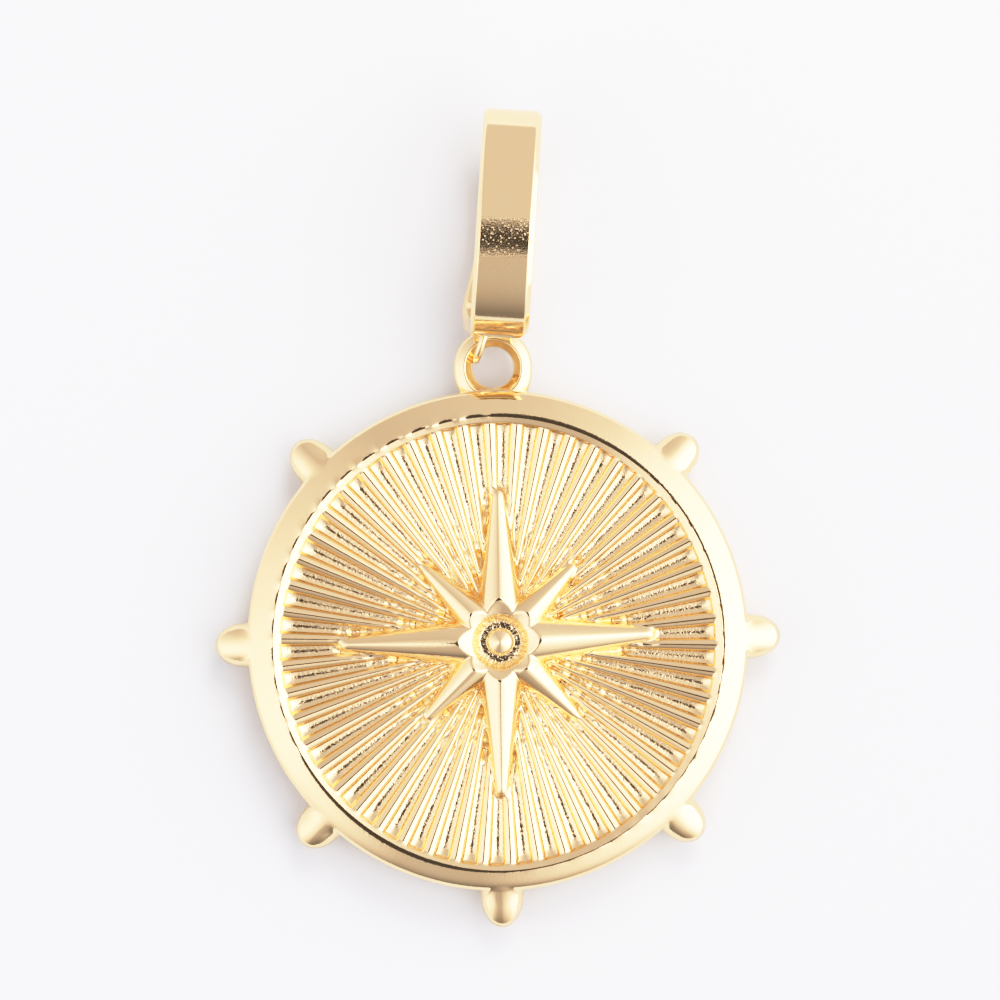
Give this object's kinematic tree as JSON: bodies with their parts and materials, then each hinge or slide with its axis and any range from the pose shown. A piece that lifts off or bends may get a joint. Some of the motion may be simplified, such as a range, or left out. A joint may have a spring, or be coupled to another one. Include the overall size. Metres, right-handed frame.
{
  "type": "coin pendant",
  "caption": "Round gold-coloured medallion charm with a raised compass star on a fluted face, rounded edge studs and an oval bail linked through its eyelet.",
  "frame": {"origin": "centre of the coin's flat back, on the surface that the pendant lies on", "axes": "+Z out of the coin's face, +Y from the coin's centre to its eyelet and the bail, +X to the right as the face is seen"},
  "size_m": [0.0248, 0.0357, 0.0065],
  "materials": {
    "coin_plating": "bright pale gold plating over a casting",
    "bail_plating": "bright pale gold plating over a polished band"
  },
  "bodies": {
    "root": {"coin": "coin_plating", "bail": "bail_plating"}
  },
  "joints": []
}
